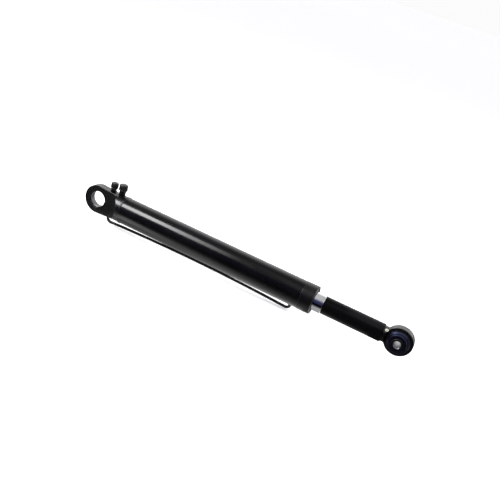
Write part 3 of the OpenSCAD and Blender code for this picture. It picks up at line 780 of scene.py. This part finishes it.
def build_rod_eye():
    margin = 1.5 * MM
    low = (SHANK_X0 - margin, -NECK_R - margin, -EYE_R - margin)
    high = (EYE_X + EYE_R + margin, NECK_R + margin, EYE_R + margin)
    verts, faces, normals = sculpt(rod_eye_field, low, high, 0.7 * MM)
    add_piece("rod_eye_forging", verts, faces, ["cast_paint"], "rod", "black_paint", ["rod_eye"], normals)


def build_bush():
    """Pressed-in outer sleeve, rubber that swells out in two steps, and the long inner sleeve."""
    centre = (EYE_X, 0, 0)
    ring_r = EYE_BORE_R - 2 * MM
    lip = EYE_HALF + 0.5 * MM
    turned("bush_shell", tube_outline(-lip, lip, EYE_BORE_R, ring_r, 0.4 * MM),
           "rod", "bush_steel", "black_oxide", ["bush_outer_sleeve"], axis=1, centre=centre)
    face_y, face_r = 19 * MM, 18.5 * MM
    grip_r = BUSH_SLEEVE_R + 0.04 * MM
    swell = [(lip - 0.4 * MM, ring_r, 0), (lip + 0.5 * MM, ring_r + 1.0 * MM, 0.8 * MM),
             (lip + 2.4 * MM, ring_r + 0.8 * MM, 1.6 * MM),
             (face_y - 3.6 * MM, face_r + 2.3 * MM, 1.8 * MM)]
    step = [(face_y - 3.0 * MM, face_r + 0.6 * MM, 0.6 * MM),
            (face_y - 1.2 * MM, face_r + 0.2 * MM, 0.6 * MM)]
    face = [(face_y, face_r - 0.6 * MM, 0.9 * MM), (face_y - 0.5 * MM, grip_r + 2.6 * MM, 0.9 * MM),
            (face_y, grip_r + 0.5 * MM, 0.4 * MM), (face_y - 0.1 * MM, grip_r, 0)]
    half = swell + step + face
    outline = half + [(-a, r, f) for a, r, f in reversed(half)]
    turned("bush_rubber_body", outline,
           "rod", "bush_rubber", "bush_rubber", ["bush_rubber"], axis=1, centre=centre)
    bored_sleeve("bush_inner_tube", BUSH_END, BUSH_BORE_R, BUSH_SLEEVE_R, 1 * MM, centre,
                 ["bush_bore", "black_oxide"], "bush", "bush_steel", "bush_inner_sleeve")


# ---------------------------------------------------------------- CAD nodes that keep their own mesh

CARRIED = {
    "turned": ["stage_piston", "stage_stop_tube", "inner_gland", "rod_piston", "rod_stop_tube"],
    "seal": ["gland_rod_seal", "stage_piston_seal", "inner_rod_seal", "rod_piston_seal"],
    "guide": ["gland_guide_rings", "stage_guide_rings", "inner_guide_ring", "rod_guide_ring"],
    "o_ring": ["gland_o_ring", "stage_o_ring", "inner_gland_o_ring", "gland_wiper", "inner_wiper"],
    "chrome": ["inner_rod"],
    "zinc": ["rod_piston_nut", "eye_lock_screw"],
    "cast_paint": ["sleeve_weld"],
    "collar_paint": ["gland", "port_washers"],
}


def dress_cad_nodes():
    for key, names in CARRIED.items():
        for name in names:
            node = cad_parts[name]
            node.data.materials.clear()
            node.data.materials.append(MATERIALS[key])
            node.data.shade_smooth()
            node.data.set_sharp_from_angle(angle=math.radians(35))


# ---------------------------------------------------------------- floor, lights and camera


def level_quad(x0, x1, y0, y1, z):
    return [(x0, y0, z), (x1, y0, z), (x1, y1, z), (x0, y1, z)]


def build_floor():
    """White floor that the camera sees."""
    size = 60.0
    mesh = bpy.data.meshes.new("studio_floor")
    corners = level_quad(-size, size, -size, size, cad_box[0].z - 0.5 * MM)
    mesh.from_pydata(corners, [], [(0, 1, 2, 3)])
    g = Graph("pale_floor")
    g.set(Emission_Strength=0.42, Emission_Color=(1, 1, 1, 1), Specular_IOR_Level=0.1)
    tone = g.mix(g.noise(3, 2), (0.86, 0.86, 0.86), (0.88, 0.88, 0.88))
    mesh.materials.append(g.finish(tone, g.remap(g.noise(40, 3), 0.3, 0.7, 0.75, 0.9)))
    floor = bpy.data.objects.new("studio_floor", mesh)
    floor.visible_glossy = False
    bpy.context.scene.collection.objects.link(floor)


def colour_ramp(tree, factor, stops):
    """A colour ramp over 0 to 1 from (position, colour) stops."""
    node = tree.nodes.new("ShaderNodeValToRGB")
    elements = node.color_ramp.elements
    for k, (position, colour) in enumerate(stops):
        element = elements[k] if k < 2 else elements.new(position)
        element.position = position
        element.color = (*colour, 1)
    tree.links.new(factor, node.inputs["Fac"])
    return node.outputs["Color"]


def reflector(name, corners, stops, direction, span_m, strength):
    """Glowing card that only reflections see; its light changes along a direction, over a span in metres."""
    mesh = bpy.data.meshes.new(name)
    mesh.from_pydata(corners, [], [(0, 1, 2, 3)])
    material = bpy.data.materials.new(name)
    material.use_nodes = True
    tree = material.node_tree
    tree.nodes.clear()
    coords = tree.nodes.new("ShaderNodeTexCoord")
    along = tree.nodes.new("ShaderNodeVectorMath")
    along.operation = "DOT_PRODUCT"
    along.inputs[1].default_value = direction
    tree.links.new(coords.outputs["Object"], along.inputs[0])
    place_in = tree.nodes.new("ShaderNodeMapRange")
    place_in.inputs["From Min"].default_value, place_in.inputs["From Max"].default_value = span_m
    tree.links.new(along.outputs["Value"], place_in.inputs["Value"])
    glow = tree.nodes.new("ShaderNodeEmission")
    glow.inputs["Strength"].default_value = strength
    tree.links.new(colour_ramp(tree, place_in.outputs["Result"], stops), glow.inputs["Color"])
    out = tree.nodes.new("ShaderNodeOutputMaterial")
    tree.links.new(glow.outputs["Emission"], out.inputs["Surface"])
    mesh.materials.append(material)
    card = bpy.data.objects.new(name, mesh)
    card.visible_camera = False
    card.visible_diffuse = False
    card.visible_shadow = False
    bpy.context.scene.collection.objects.link(card)


def greys(*pairs):
    """Grey ramp stops from (position, brightness) pairs."""
    return [(position, (value, value, value)) for position, value in pairs]


def even_card(name, x0, x1, y0, y1, z, strength):
    """Level card with the same light all over."""
    reflector(name, level_quad(x0, x1, y0, y1, z), greys((0.0, 1.0), (1.0, 1.0)), (1.0, 0.0, 0.0), (0.0, 1.0),
              strength)


def build_reflectors():
    """What the gloss sees: the floor, the long key light, and five small cards placed for the photo's view.

    The small cards suit the rest pose. From behind, or with the stages out, the gloss looks less natural.
    """
    floor_z = cad_box[0].z - 0.4 * MM
    size = 20.0
    reflector("floor_reflection", level_quad(-size, size, -size, size, floor_z),
              greys((0.0, 0.0), (0.3, 0.1), (0.45, 0.35), (0.6, 0.8), (0.7, 1.0), (0.85, 0.5), (1.0, 0.4)),
              (-0.15, 1.0, 0.0), (-0.22, -0.02), 1.3)
    low_edge, high_edge = (-0.98, 0.98), (-0.45, 1.33)
    left, right = -1.3, 0.15
    reflector("key_reflection",
              [(left, *low_edge), (right, *low_edge), (right, *high_edge), (left, *high_edge)],
              greys((0.0, 1.0), (0.35, 0.44), (0.6, 0.24), (0.8, 0.1), (1.0, 0.0)),
              (1.0, 0.0, 0.0), (-0.435, 0.016), 19.0)
    card_z = floor_z + 0.1 * MM
    reflector("left_floor_reflection",
              [(-0.3, -0.19, card_z), (0.22, -0.068, card_z),
               (0.22, -0.045, card_z), (-0.3, -0.045, card_z)],
              greys((0.0, 0.04), (0.5, 0.04), (0.6, 1.0), (1.0, 0.45)), (1.0, 0.0, 0.0), (-0.2, 0.22), 2.3)
    even_card("chrome_top_reflection", STAGE_X1 - 50 * MM, STAGE_X1 - 20 * MM, -0.09, 0.09, 0.16, 0.6)
    even_card("chrome_floor_reflection", STAGE_X1 - 38 * MM, STAGE_X1 - 6 * MM, -0.07, 0.02, card_z, 0.42)
    even_card("eye_top_reflection", 0.6, 0.86, -0.12, 0.1, 0.15, 1.5)
    even_card("eye_floor_reflection", 0.66, 0.8, -0.15, 0.05, card_z, 0.1)


# Light by the angle round the cylinder, in degrees: 0 is the front horizon, 90 overhead, 180 the back
SKY = [
    (0, (0.025, 0.03, 0.07)), (28, (0.04, 0.045, 0.11)), (40, (0.14, 0.15, 0.22)), (50, (0.4, 0.41, 0.45)),
    (62, (0.6, 0.6, 0.63)), (76, (0.5, 0.5, 0.52)), (92, (0.24, 0.24, 0.25)), (106, (0.24, 0.24, 0.25)),
    (116, (0.5, 0.5, 0.51)), (132, (1.2, 1.2, 1.2)), (150, (1.75, 1.75, 1.75)), (180, (1.5, 1.5, 1.5)),
]


def build_world():
    """White to the camera; to everything else a studio that changes with the angle round the cylinder."""
    world = bpy.data.worlds.new("studio")
    world.use_nodes = True
    bpy.context.scene.world = world
    tree = world.node_tree
    nodes, link = tree.nodes, tree.links.new
    coords = nodes.new("ShaderNodeTexCoord")
    split = nodes.new("ShaderNodeSeparateXYZ")
    link(coords.outputs["Generated"], split.inputs[0])
    behind = nodes.new("ShaderNodeMath")
    behind.operation = "MULTIPLY"
    behind.inputs[1].default_value = -1
    link(split.outputs["Y"], behind.inputs[0])
    angle = nodes.new("ShaderNodeMath")
    angle.operation = "ARCTAN2"
    link(split.outputs["Z"], angle.inputs[0])
    link(behind.outputs["Value"], angle.inputs[1])
    turn = nodes.new("ShaderNodeMapRange")
    turn.inputs["From Min"].default_value = 0.0
    turn.inputs["From Max"].default_value = math.pi
    link(angle.outputs["Value"], turn.inputs["Value"])
    colour = colour_ramp(tree, turn.outputs["Result"], [(d / 180, c) for d, c in SKY])
    around = nodes["Background"]
    link(colour, around.inputs["Color"])
    white = nodes.new("ShaderNodeBackground")
    white.inputs["Color"].default_value = (0.97, 0.97, 0.97, 1)
    path = nodes.new("ShaderNodeLightPath")
    mix = nodes.new("ShaderNodeMixShader")
    link(path.outputs["Is Camera Ray"], mix.inputs["Fac"])
    link(around.outputs["Background"], mix.inputs[1])
    link(white.outputs["Background"], mix.inputs[2])
    link(mix.outputs["Shader"], nodes["World Output"].inputs["Surface"])


def softbox(name, place_at, aim, width, depth, power):
    light = bpy.data.lights.new(name, "AREA")
    light.shape = "RECTANGLE"
    light.size, light.size_y = width, depth
    light.energy = power
    lamp = bpy.data.objects.new(name, light)
    lamp.location = place_at
    lamp.rotation_mode = "QUATERNION"
    lamp.rotation_quaternion = (Vector(place_at) - Vector(aim)).to_track_quat("Z", "Y")
    lamp.visible_camera = False
    lamp.visible_glossy = False
    bpy.context.scene.collection.objects.link(lamp)


def build_lights():
    """Soft light for the diffuse look only; the cards and the world make the reflections."""
    middle = Vector(((BARREL_X0 + COLLAR_X1) / 2, 0, 0))
    base_side = middle + Vector((-0.3, 0, 0))
    softbox("key_softbox", middle + Vector((-0.75, -0.62, 1.15)), base_side, 1.1, 0.42, 26)
    softbox("back_softbox", middle + Vector((0.2, 1.5, 0.9)), middle, 2.4, 0.9, 30)
    softbox("top_fill", middle + Vector((0.3, 0.2, 2.6)), middle, 2.5, 2.0, 22)


def build_camera():
    """Looks down on the cylinder from the front right, rolled so that it slopes down to the right."""
    aim = Vector((0.3728, 0.0, 0.0412))
    azimuth, elevation, roll = (math.radians(a) for a in (16.6, 23.78, 18.16))
    distance = 1.356
    back = Vector((math.sin(azimuth) * math.cos(elevation), -math.cos(azimuth) * math.cos(elevation),
                   math.sin(elevation)))
    data = bpy.data.cameras.new("photo_camera")
    data.sensor_width = 36
    data.lens = 47.106
    camera = bpy.data.objects.new("photo_camera", data)
    camera.location = aim + distance * back
    camera.rotation_mode = "QUATERNION"
    camera.rotation_quaternion = back.to_track_quat("Z", "Y") @ Quaternion((0, 0, 1), roll)
    bpy.context.scene.collection.objects.link(camera)
    bpy.context.scene.camera = camera


build_base_eye()
build_barrel()
build_stage_tube()
build_ports()
build_pipe()
build_pipe_ends()
build_sleeve()
build_rod_eye()
build_bush()
dress_cad_nodes()
build_floor()
build_reflectors()
build_world()
build_lights()
build_camera()
bpy.context.scene.view_settings.view_transform = "Standard"
